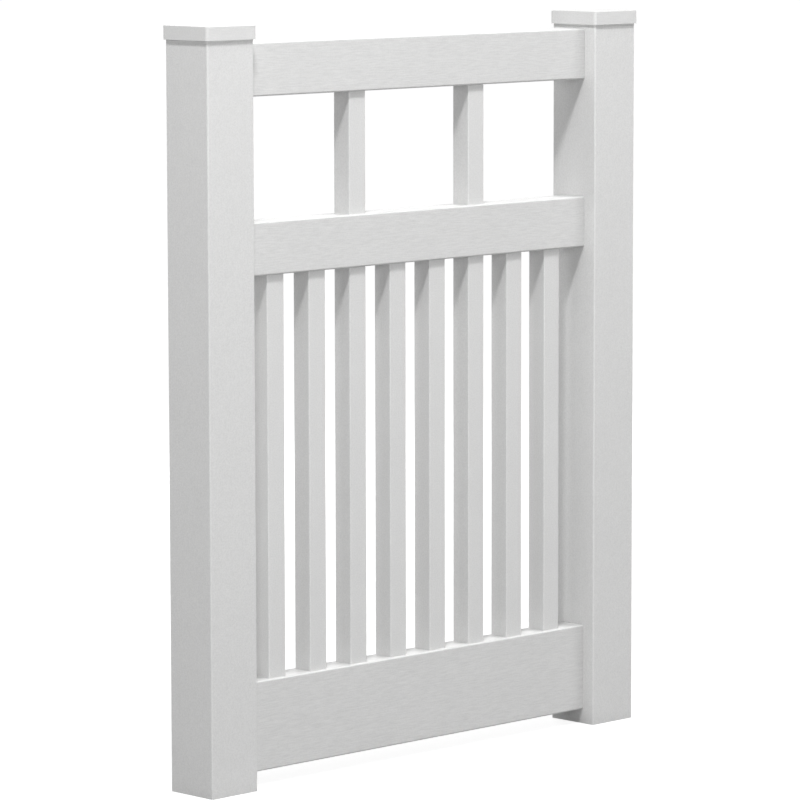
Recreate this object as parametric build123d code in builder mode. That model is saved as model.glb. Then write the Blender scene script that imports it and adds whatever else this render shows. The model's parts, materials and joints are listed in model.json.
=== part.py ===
from build123d import *
import os

# Semi-privacy gate of hollow vinyl extrusions: two capped posts, three rails and eight pickets.
# Millimetres. +X runs from the left post to the right post, -Y is the front and +Z is up.
# The origin is the centre of the left post's foot.
os.makedirs("parts", exist_ok=True)

# Posts
post_width = 101.6
post_wall = 3.8
post_corner_radius = 3.0
post_inner_radius = 1.0
clear_opening = 812.8

# Post caps
cap_skirt_height = 23.5
cap_wall = 3.0
cap_top_thickness = 2.5
cap_edge_radius = 1.2
cap_corner_radius = 5.5
cap_clearance = 0.7

# Foot plugs
plug_plate_thickness = 3.0
plug_skirt_height = 22.0
plug_wall = 2.2
plug_clearance = 0.25

# Rails
rail_thickness = 50.8
rail_wall = 2.3
rail_corner_radius = 3.2
rail_inner_radius = 1.2
top_rail_height = 88.9
middle_rail_height = 88.9
bottom_rail_height = 152.4
rail_seat_depth = 32.0
rail_clearance = 0.25

# Pickets
picket_width = 38.1
picket_wall = 1.8
picket_corner_radius = 2.4
picket_inner_radius = 0.8
picket_count = 8
tall_picket_count = 2
picket_seat_depth = 22.0
picket_clearance = 0.25

# Drain holes under the bottom rail
drain_hole_radius = 3.2
drain_hole_inset = 110.0

# Gaps from the foot up to the caps
foot_gap = 25.4
lower_opening = 675.0
upper_opening = 206.0
cap_gap = 6.4

# Heights that follow from the sizes above
bottom_rail_z = foot_gap
middle_rail_z = bottom_rail_z + bottom_rail_height + lower_opening
top_rail_z = middle_rail_z + middle_rail_height + upper_opening
cap_rim_z = top_rail_z + top_rail_height + cap_gap
cap_top_z = cap_rim_z + cap_skirt_height
post_height = cap_top_z - cap_top_thickness

# Places along the gate
post_spacing = clear_opening + post_width
opening_start = post_width / 2
rail_length = clear_opening + 2 * rail_seat_depth
picket_gap = (clear_opening - picket_count * picket_width) / (picket_count + 1)


def picket_x(number):
    """Centre of a picket, counted from 1 at the left post."""
    return opening_start + number * (picket_gap + picket_width) - picket_width / 2


def make_post(x, inner_side):
    """A hollow post whose side towards the opening (+1 right, -1 left) is routed for the rails."""
    with BuildPart() as post:
        with BuildSketch(Plane((x, 0, 0))):
            RectangleRounded(post_width, post_width, post_corner_radius)
            bore = post_width - 2 * post_wall
            RectangleRounded(bore, bore, post_inner_radius, mode=Mode.SUBTRACT)
        extrude(amount=post_height)
        for rail_z, rail_height in rail_rows:
            rail_axis = Plane((x, 0, rail_z + rail_height / 2), x_dir=(0, 1, 0), z_dir=(inner_side, 0, 0))
            with BuildSketch(rail_axis):
                RectangleRounded(
                    rail_thickness + 2 * rail_clearance,
                    rail_height + 2 * rail_clearance,
                    rail_corner_radius + rail_clearance,
                )
            extrude(amount=post_width / 2, mode=Mode.SUBTRACT)
    return post


def make_cap(x):
    """A flat cap whose skirt hangs over the post's top end."""
    cap_bore = post_width + 2 * cap_clearance
    cap_width = cap_bore + 2 * cap_wall
    with BuildPart() as cap:
        with BuildSketch(Plane((x, 0, cap_rim_z))):
            RectangleRounded(cap_width, cap_width, cap_corner_radius)
        extrude(amount=cap_skirt_height)
        fillet(cap.faces().sort_by(Axis.Z)[-1].edges(), radius=cap_edge_radius)
        with BuildSketch(Plane((x, 0, cap_rim_z))):
            RectangleRounded(cap_bore, cap_bore, post_corner_radius)
        extrude(amount=cap_skirt_height - cap_top_thickness, mode=Mode.SUBTRACT)
    return cap


def make_foot_plug(x):
    """A plug with an upturned skirt, pushed flush into the post's lower end."""
    plug_width = post_width - 2 * post_wall - 2 * plug_clearance
    plug_bore = plug_width - 2 * plug_wall
    with BuildPart() as plug:
        with BuildSketch(Plane((x, 0, 0))):
            RectangleRounded(plug_width, plug_width, post_inner_radius)
        extrude(amount=plug_skirt_height)
        with BuildSketch(Plane((x, 0, plug_plate_thickness))):
            Rectangle(plug_bore, plug_bore)
        extrude(amount=plug_skirt_height - plug_plate_thickness, mode=Mode.SUBTRACT)
    return plug


def make_rail(rail_z, rail_height, mortises_up, mortises_down):
    """A hollow rail, routed for the pickets listed for its top and its underside."""
    middle_z = rail_z + rail_height / 2
    rail_start = Plane((opening_start - rail_seat_depth, 0, middle_z), x_dir=(0, 1, 0), z_dir=(1, 0, 0))
    mortise_width = picket_width + 2 * picket_clearance
    with BuildPart() as rail:
        with BuildSketch(rail_start):
            RectangleRounded(rail_thickness, rail_height, rail_corner_radius)
            bore_thickness = rail_thickness - 2 * rail_wall
            bore_height = rail_height - 2 * rail_wall
            RectangleRounded(bore_thickness, bore_height, rail_inner_radius, mode=Mode.SUBTRACT)
        extrude(amount=rail_length)
        for numbers, direction in ((mortises_up, 1), (mortises_down, -1)):
            if numbers:
                with BuildSketch(Plane((0, 0, middle_z), x_dir=(1, 0, 0), z_dir=(0, 0, direction))):
                    with Locations([(picket_x(number), 0) for number in numbers]):
                        mortise_radius = picket_corner_radius + picket_clearance
                        RectangleRounded(mortise_width, mortise_width, mortise_radius)
                extrude(amount=rail_height / 2, mode=Mode.SUBTRACT)
    return rail


def make_picket(number, end_z):
    """A hollow picket from inside the bottom rail up to end_z."""
    start_z = bottom_rail_z + bottom_rail_height - picket_seat_depth
    with BuildPart() as picket:
        with BuildSketch(Plane((picket_x(number), 0, start_z))):
            RectangleRounded(picket_width, picket_width, picket_corner_radius)
            bore = picket_width - 2 * picket_wall
            RectangleRounded(bore, bore, picket_inner_radius, mode=Mode.SUBTRACT)
        extrude(amount=end_z - start_z)
    return picket


# Rails that the posts are routed for, from the bottom up
rail_rows = (
    (bottom_rail_z, bottom_rail_height),
    (middle_rail_z, middle_rail_height),
    (top_rail_z, top_rail_height),
)
all_pickets = tuple(range(1, picket_count + 1))

# Numbers of the tall pickets, spread evenly over the row
tall_steps = range(1, tall_picket_count + 1)
tall_pickets = tuple(step * (picket_count + 1) // (tall_picket_count + 1) for step in tall_steps)

# Posts with their caps and foot plugs
for side, x, inner_side in (("left", 0, 1), ("right", post_spacing, -1)):
    post = make_post(x, inner_side)
    post.part.label = f"{side}_post"
    export_step(post.part, f"parts/{side}_post.step")

    cap = make_cap(x)
    cap.part.label = f"{side}_post_cap"
    export_step(cap.part, f"parts/{side}_post_cap.step")

    plug = make_foot_plug(x)
    plug.part.label = f"{side}_foot_plug"
    export_step(plug.part, f"parts/{side}_foot_plug.step")

# Top rail, routed underneath for the tall pickets
top_rail = make_rail(top_rail_z, top_rail_height, (), tall_pickets)
top_rail.part.label = "top_rail"
export_step(top_rail.part, "parts/top_rail.step")

# Middle rail, which the tall pickets pass through
middle_rail = make_rail(middle_rail_z, middle_rail_height, tall_pickets, all_pickets)
middle_rail.part.label = "middle_rail"
export_step(middle_rail.part, "parts/middle_rail.step")

# Bottom rail, with a drain hole near each end of its underside
with BuildPart() as bottom_rail:
    add(make_rail(bottom_rail_z, bottom_rail_height, all_pickets, ()).part)
    with BuildSketch(Plane.XY.offset(bottom_rail_z)):
        drain_start = opening_start + drain_hole_inset
        drain_end = opening_start + clear_opening - drain_hole_inset
        with Locations((drain_start, 0), (drain_end, 0)):
            Circle(drain_hole_radius)
    extrude(amount=rail_wall, mode=Mode.SUBTRACT)
bottom_rail.part.label = "bottom_rail"
export_step(bottom_rail.part, "parts/bottom_rail.step")

# Pickets
for number in all_pickets:
    if number in tall_pickets:
        name = f"tall_picket_{number}"
        picket = make_picket(number, top_rail_z + picket_seat_depth)
    else:
        name = f"picket_{number}"
        picket = make_picket(number, middle_rail_z + picket_seat_depth)
    picket.part.label = name
    export_step(picket.part, f"parts/{name}.step")
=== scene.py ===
"""Looks of a white vinyl semi-privacy gate: camera, light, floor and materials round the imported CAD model.

Everything is in metres, in the gate's own frame: +X from the left post to the right post, -Y to the front.
"""

import json
import math

import bpy
from mathutils import Matrix, Vector


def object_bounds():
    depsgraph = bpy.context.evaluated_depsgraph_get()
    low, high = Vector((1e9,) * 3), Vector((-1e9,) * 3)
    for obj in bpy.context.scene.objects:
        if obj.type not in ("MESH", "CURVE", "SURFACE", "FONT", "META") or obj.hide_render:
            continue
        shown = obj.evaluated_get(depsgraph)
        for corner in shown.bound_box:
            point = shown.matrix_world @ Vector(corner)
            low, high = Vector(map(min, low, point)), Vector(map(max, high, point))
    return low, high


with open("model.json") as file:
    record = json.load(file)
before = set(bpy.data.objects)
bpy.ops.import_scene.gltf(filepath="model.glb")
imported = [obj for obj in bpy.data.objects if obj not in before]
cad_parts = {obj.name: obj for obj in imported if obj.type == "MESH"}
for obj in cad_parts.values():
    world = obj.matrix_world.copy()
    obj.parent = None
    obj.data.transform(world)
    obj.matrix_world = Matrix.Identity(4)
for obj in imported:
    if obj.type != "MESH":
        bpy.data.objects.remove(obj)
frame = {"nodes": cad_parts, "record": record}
cad_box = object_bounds()

# Camera, fitted to the edges of the gate in the photo; angles in degrees
IMAGE_PIXELS = 800
FOCAL_PIXELS = 4606.0
CAMERA_PLACE = (-5.0428, -5.5610, 1.5572)
CAMERA_YAW = 44.557
CAMERA_PITCH = 6.880
CAMERA_ROLL = -0.112
CAMERA_REACH = 500.0
SENSOR_WIDTH = 36.0

# White vinyl, as linear colours
POST_COLOUR = (0.80, 0.80, 0.796)
CAP_COLOUR = (0.785, 0.785, 0.781)
RAIL_COLOUR = (0.77, 0.77, 0.766)
PICKET_COLOUR = (0.80, 0.80, 0.796)

# Noise scales along X, Y and Z for the lines that extrusion leaves on a piece
ALONG_X = (40.0, 480.0, 480.0)
ALONG_Z = (480.0, 480.0, 90.0)

# Mottling, grain, gloss and bump
NOISE_LOW = 0.3
NOISE_HIGH = 0.7
MOTTLE_SCALE = 14.0
MOTTLE_DETAIL = 3.0
MOTTLE_TONE = 0.015
GRAIN_SCALE = 420.0
FINE_ROUGHNESS = 0.6
SMOOTHEST = 0.42
ROUGHEST = 0.52
BUMP_STRENGTH = 0.5
BUMP_DISTANCE = 0.002

# Corners, with a painted highlight in their colour and rubbed polish in their gloss: the largest part of the normal on
# a flat side, and where a corner counts fully
FLAT_NORMAL = 0.98
CORNER_NORMAL = 0.85
CORNER_PAINTED_HIGHLIGHT = 0.04
CORNER_POLISH = 0.08

# Painted shade on undersides: the normal's Z where it begins, and where it counts fully
UNDERSIDE_START = -0.1
UNDERSIDE_FULL = -0.5
UNDERSIDE_PAINTED_SHADE = 0.16

# Painted shade where pieces meet and under overhangs, from the share of open sky within reach
JOINT_SHADE_REACH = 0.025
JOINT_SHADE_SAMPLES = 8
FULLY_SHADED_OPENNESS = 0.4
UNSHADED_OPENNESS = 0.95
JOINT_PAINTED_SHADE = 0.07

# Tops: the mean of the painted shade that darkens them, and how matt dust makes them
TOP_PAINTED_SHADE = 0.04
DUST_ROUGHNESS = 0.35
CLEAN_SPECULAR = 0.5
DUSTY_SPECULAR = 0.25

# Soft lamps round the gate: name, azimuth from the front towards the left, elevation, size, power in watts
LAMP_DISTANCE = 4.5
LAMPS = (
    ("lamp_key_left", 50, 58, 0.5, 95.0),
    ("lamp_key_right", -50, 60, 0.5, 45.0),
    ("lamp_key_front", -35, 48, 0.5, 22.0),
    ("lamp_high_left", 70, 62, 0.7, 24.0),
    ("lamp_high_side", 100, 60, 0.9, 9.0),
    ("lamp_right", -60, 42, 1.4, 19.0),
    ("lamp_low_corner", 30, 15, 1.4, 44.0),
    ("lamp_low_front", -15, 15, 1.4, 18.0),
    ("lamp_low_left", 100, 15, 1.4, 27.0),
    ("lamp_low_back", -145, 20, 1.4, 84.0),
)

# Strength of the surround as a light, and as seen by the camera and in reflections
WORLD_LIGHT = 0.04
WORLD_SEEN = 1.0
WHITE = (1.0, 1.0, 1.0, 1.0)

# Floor, with a glow seen by the camera that rises to white away from the gate
FLOOR_HALF_SIZE = 120.0
FLOOR_DROP = 0.0004
FLOOR_ALBEDO = 0.35
FLOOR_GLOW_NEAR = 0.84
FLOOR_GLOW_FAR = 1.0
FLOOR_FADE_START = 1.5
FLOOR_FADE_END = 5.0


class Nodes:
    """Short calls that add and join nodes of one tree."""

    def __init__(self, tree):
        self.tree = tree

    def add(self, kind, inputs=None, **settings):
        """A node with its settings, and with values or links given for its inputs."""
        node = self.tree.nodes.new(kind)
        for key, value in settings.items():
            setattr(node, key, value)
        for key, value in (inputs or {}).items():
            if isinstance(value, bpy.types.NodeSocket):
                self.tree.links.new(value, node.inputs[key])
            else:
                node.inputs[key].default_value = value
        return node

    def math(self, operation, a, b=0.0, clamp=False):
        """The output of a Math node."""
        return self.add("ShaderNodeMath", {0: a, 1: b}, operation=operation, use_clamp=clamp).outputs[0]

    def remap(self, value, from_min, from_max, to_min, to_max, clamp=True):
        """A value moved from one range to another, and held inside it unless clamp is off."""
        ranges = {"Value": value, "From Min": from_min, "From Max": from_max, "To Min": to_min, "To Max": to_max}
        return self.add("ShaderNodeMapRange", ranges, clamp=clamp).outputs["Result"]

    def noise(self, place, scale, detail=2.0, roughness=0.5):
        """The value of a noise texture at a place."""
        inputs = {"Vector": place, "Scale": scale, "Detail": detail, "Roughness": roughness}
        return self.add("ShaderNodeTexNoise", inputs).outputs["Fac"]

    def stretched(self, place, scale):
        """A place scaled along each axis, for noise that runs along a piece."""
        return self.add("ShaderNodeMapping", {"Vector": place, "Scale": scale}).outputs["Vector"]

    def between(self, noise, low, high):
        """A noise value as a share of its usual range, held between two values."""
        return self.remap(noise, NOISE_LOW, NOISE_HIGH, low, high)

    def spread(self, noise, amount):
        """A noise value turned into a change of about plus or minus an amount."""
        return self.remap(noise, NOISE_LOW, NOISE_HIGH, -amount, amount, clamp=False)

    def corners(self, normal):
        """1 on a rounded corner, where the surface turns from one side to the next, and 0 on the flats."""
        axes = self.add("ShaderNodeSeparateXYZ", {0: normal}).outputs
        sides = [self.math("ABSOLUTE", axis) for axis in axes]
        most = self.math("MAXIMUM", self.math("MAXIMUM", sides[0], sides[1]), sides[2])
        return self.remap(most, FLAT_NORMAL, CORNER_NORMAL, 0.0, 1.0)

    def undersides(self, normal):
        """1 where the surface faces down, and 0 from level upwards."""
        rise = self.add("ShaderNodeSeparateXYZ", {0: normal}).outputs["Z"]
        return self.remap(rise, UNDERSIDE_START, UNDERSIDE_FULL, 0.0, 1.0)

    def tops(self, normal):
        """1 where the surface faces up, and 0 on the sides."""
        rise = self.add("ShaderNodeSeparateXYZ", {0: normal}).outputs["Z"]
        return self.remap(rise, CORNER_NORMAL, FLAT_NORMAL, 0.0, 1.0)

    def seen(self):
        """1 for rays from the camera, reflections and glass, and 0 for light that falls on a surface."""
        path = self.add("ShaderNodeLightPath").outputs
        seen = self.math("MAXIMUM", path["Is Camera Ray"], path["Is Glossy Ray"])
        return self.math("MAXIMUM", seen, path["Is Transmission Ray"])


def new_material(name):
    """An empty node material and its node tree's helper."""
    material = bpy.data.materials.new(name)
    material.use_nodes = True
    material.node_tree.nodes.clear()
    return material, Nodes(material.node_tree)


def make_vinyl(name, base, streak_scale, streak_tone, grain_tone):
    """Extruded white vinyl: mottling, fine grain, lines along the extrusion, a painted highlight and rubbed polish on
    corners, painted shade on undersides, in joints and on tops, and dust that makes tops matt.
    """
    material, nodes = new_material(name)
    coordinates = nodes.add("ShaderNodeTexCoord").outputs
    place = coordinates["Object"]
    normal = coordinates["Normal"]
    mottle = nodes.noise(place, MOTTLE_SCALE, MOTTLE_DETAIL)
    grain = nodes.noise(place, GRAIN_SCALE, roughness=FINE_ROUGHNESS)
    streaks = nodes.noise(nodes.stretched(place, streak_scale), 1.0, roughness=FINE_ROUGHNESS)
    top = nodes.tops(normal)
    underside = nodes.undersides(normal)
    corner = nodes.math("SUBTRACT", nodes.corners(normal), underside, clamp=True)
    openness = nodes.add("ShaderNodeAmbientOcclusion", {"Distance": JOINT_SHADE_REACH}, samples=JOINT_SHADE_SAMPLES).outputs["AO"]

    # Tone: the share of the base colour that is left
    tone = nodes.math("ADD", nodes.between(mottle, 1.0 - MOTTLE_TONE, 1.0), nodes.spread(grain, grain_tone))
    tone = nodes.math("ADD", tone, nodes.spread(streaks, streak_tone))
    # painted highlight: rounded corners drawn lighter than the flats
    tone = nodes.math("ADD", tone, nodes.math("MULTIPLY", corner, CORNER_PAINTED_HIGHLIGHT))
    # painted shade: surfaces facing down drawn darker
    tone = nodes.math("SUBTRACT", tone, nodes.math("MULTIPLY", underside, UNDERSIDE_PAINTED_SHADE))
    # painted shade: up-facing surfaces drawn darker, in mottled patches
    top_shade = nodes.math("MULTIPLY", top, nodes.between(mottle, 0.0, 2.0 * TOP_PAINTED_SHADE))
    tone = nodes.math("SUBTRACT", tone, top_shade)
    # painted shade: darker where little open sky is within reach, in joints and under overhangs
    tone = nodes.math("SUBTRACT", tone, nodes.remap(openness, FULLY_SHADED_OPENNESS, UNSHADED_OPENNESS, JOINT_PAINTED_SHADE, 0.0))
    colour = nodes.add("ShaderNodeVectorMath", {0: base, "Scale": tone}, operation="SCALE").outputs[0]

    # Gloss
    rubbed = nodes.math("MULTIPLY", corner, CORNER_POLISH)
    roughness = nodes.math("SUBTRACT", nodes.between(streaks, SMOOTHEST, ROUGHEST), rubbed)
    roughness = nodes.math("ADD", roughness, nodes.math("MULTIPLY", top, DUST_ROUGHNESS))
    specular = nodes.remap(top, 0.0, 1.0, CLEAN_SPECULAR, DUSTY_SPECULAR)

    height = nodes.math("ADD", nodes.math("MULTIPLY", streaks, streak_tone), nodes.math("MULTIPLY", grain, grain_tone))
    bump = nodes.add("ShaderNodeBump", {"Height": height, "Strength": BUMP_STRENGTH, "Distance": BUMP_DISTANCE})
    shader = nodes.add("ShaderNodeBsdfPrincipled", {
        "Base Color": colour,
        "Roughness": roughness,
        "Specular IOR Level": specular,
        "Normal": bump.outputs["Normal"],
    })
    nodes.add("ShaderNodeOutputMaterial", {"Surface": shader.outputs[0]})
    return material


def dress(material_of):
    """Gives each CAD node the material of its record slot."""
    for part in frame["record"]["subparts"]:
        slots = frame["nodes"][part["node"]].material_slots
        for material_slot in slots:
            material_slot.material = material_of[part["material_slot"]]


def make_floor_material():
    """A pale floor that shows white to the camera and in reflections, and keeps the gate's shadow."""
    material, nodes = new_material("floor_paint")
    place = nodes.add("ShaderNodeTexCoord").outputs["Object"]
    distance = nodes.add("ShaderNodeVectorMath", {0: place}, operation="LENGTH").outputs["Value"]
    glow = nodes.remap(distance, FLOOR_FADE_START, FLOOR_FADE_END, FLOOR_GLOW_NEAR, FLOOR_GLOW_FAR)
    paint = nodes.add("ShaderNodeBsdfDiffuse", {"Color": (FLOOR_ALBEDO, FLOOR_ALBEDO, FLOOR_ALBEDO, 1.0)})
    light = nodes.add("ShaderNodeEmission", {"Strength": nodes.math("MULTIPLY", glow, nodes.seen())})
    both = nodes.add("ShaderNodeAddShader", {0: paint.outputs[0], 1: light.outputs[0]})
    nodes.add("ShaderNodeOutputMaterial", {"Surface": both.outputs[0]})
    return material


def make_floor():
    """The floor under the gate, which isn't part of it."""
    h = FLOOR_HALF_SIZE
    mesh = bpy.data.meshes.new("floor")
    mesh.from_pydata([(-h, -h, 0), (h, -h, 0), (h, h, 0), (-h, h, 0)], [], [(0, 1, 2, 3)])
    mesh.materials.append(make_floor_material())
    floor = bpy.data.objects.new("floor", mesh)
    floor.location = (gate_centre.x, gate_centre.y, cad_box[0][2] - FLOOR_DROP)
    bpy.context.scene.collection.objects.link(floor)


def make_world():
    """A surround that is white to the camera and in reflections, and only a dim light."""
    world = bpy.data.worlds.new("surround")
    bpy.context.scene.world = world
    world.use_nodes = True
    world.node_tree.nodes.clear()
    nodes = Nodes(world.node_tree)
    strength = nodes.remap(nodes.seen(), 0.0, 1.0, WORLD_LIGHT, WORLD_SEEN)
    background = nodes.add("ShaderNodeBackground", {"Color": WHITE, "Strength": strength})
    nodes.add("ShaderNodeOutputWorld", {"Surface": background.outputs[0]})


def make_lamp(name, azimuth, elevation, size, power):
    """A square soft lamp on a dome round the gate, aimed at its middle."""
    light = bpy.data.lights.new(name, "AREA")
    light.shape = "SQUARE"
    light.size = size
    light.energy = power
    lamp = bpy.data.objects.new(name, light)
    turn = math.radians(azimuth)
    rise = math.radians(elevation)
    level = LAMP_DISTANCE * math.cos(rise)
    arm = Vector((-level * math.sin(turn), -level * math.cos(turn), LAMP_DISTANCE * math.sin(rise)))
    lamp.location = gate_centre + arm
    lamp.rotation_euler = (-arm).to_track_quat("-Z", "Y").to_euler()
    bpy.context.scene.collection.objects.link(lamp)


def make_camera():
    """The camera at the photo's place, direction and focal length."""
    data = bpy.data.cameras.new("camera")
    data.sensor_width = SENSOR_WIDTH
    data.lens = FOCAL_PIXELS / IMAGE_PIXELS * SENSOR_WIDTH
    data.clip_end = CAMERA_REACH
    camera = bpy.data.objects.new("camera", data)
    turn = Matrix.Rotation(math.radians(-CAMERA_YAW), 4, "Z")
    tilt = Matrix.Rotation(math.radians(90.0 - CAMERA_PITCH), 4, "X")
    roll = Matrix.Rotation(math.radians(CAMERA_ROLL), 4, "Z")
    camera.matrix_world = Matrix.Translation(CAMERA_PLACE) @ turn @ tilt @ roll
    bpy.context.scene.collection.objects.link(camera)
    bpy.context.scene.camera = camera


gate_centre = (Vector(cad_box[0]) + Vector(cad_box[1])) / 2
dress({
    "post_vinyl": make_vinyl("post_vinyl", POST_COLOUR, ALONG_Z, streak_tone=0.018, grain_tone=0.052),
    "cap_vinyl": make_vinyl("cap_vinyl", CAP_COLOUR, ALONG_X, streak_tone=0.028, grain_tone=0.032),
    "plug_plastic": make_vinyl("plug_plastic", POST_COLOUR, ALONG_X, streak_tone=0.012, grain_tone=0.020),
    "rail_vinyl": make_vinyl("rail_vinyl", RAIL_COLOUR, ALONG_X, streak_tone=0.056, grain_tone=0.034),
    "picket_vinyl": make_vinyl("picket_vinyl", PICKET_COLOUR, ALONG_Z, streak_tone=0.018, grain_tone=0.048),
})
make_floor()
make_world()
for lamp_settings in LAMPS:
    make_lamp(*lamp_settings)
make_camera()
bpy.context.scene.view_settings.view_transform = "Standard"
